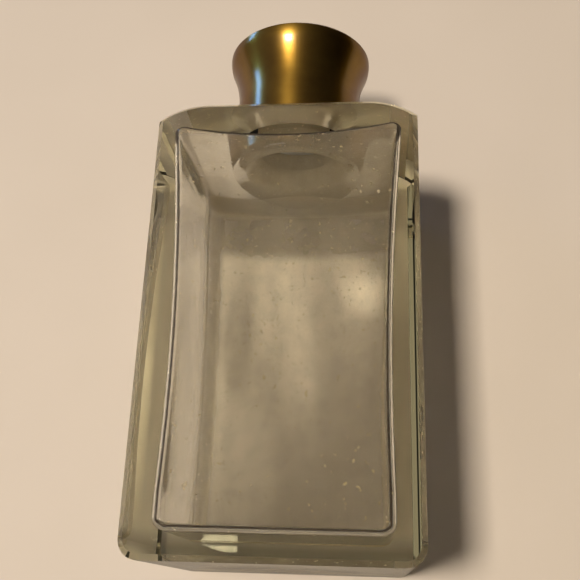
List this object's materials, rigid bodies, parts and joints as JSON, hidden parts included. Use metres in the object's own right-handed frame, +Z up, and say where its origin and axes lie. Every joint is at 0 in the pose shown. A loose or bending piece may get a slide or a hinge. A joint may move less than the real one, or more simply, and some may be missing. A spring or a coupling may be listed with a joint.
{
  "type": "aftershave bottle",
  "caption": "Square thick-walled glass splash bottle with a flared screw-on metal cap over a threaded neck and pour plug.",
  "frame": {"origin": "centre of the base, at the plane the bottle stands on", "axes": "+Z up along the neck, -Y out of the front face, +X along the width"},
  "size_m": [0.05, 0.047, 0.1099],
  "materials": {
    "glass": "polished",
    "reducer_plastic": "satin",
    "aged_brass": "aged, satin",
    "insert_plastic": "moulded",
    "liner_foam": "matt foam"
  },
  "bodies": {
    "bottle": {"glass_bottle": "glass", "orifice_reducer": "reducer_plastic"},
    "liner": {"cap_liner": "liner_foam"},
    "cap": {"cap_shell": "aged_brass", "cap_insert": "insert_plastic"}
  },
  "joints": [
    {"name": "cap_lift", "type": "slide", "parent": "bottle", "child": "liner", "axis": [0, 0, 1], "range_m": [0, 0.0159]},
    {"name": "cap_turn", "type": "hinge", "parent": "liner", "child": "cap", "pos_m": [0, 0, 0.086], "axis": [0, 0, 1], "range_deg": [0, 1800]}
  ],
  "couplings": [
    {"joint": "cap_lift", "follows": "cap_turn", "m_per_rad": 0.00050532}
  ]
}
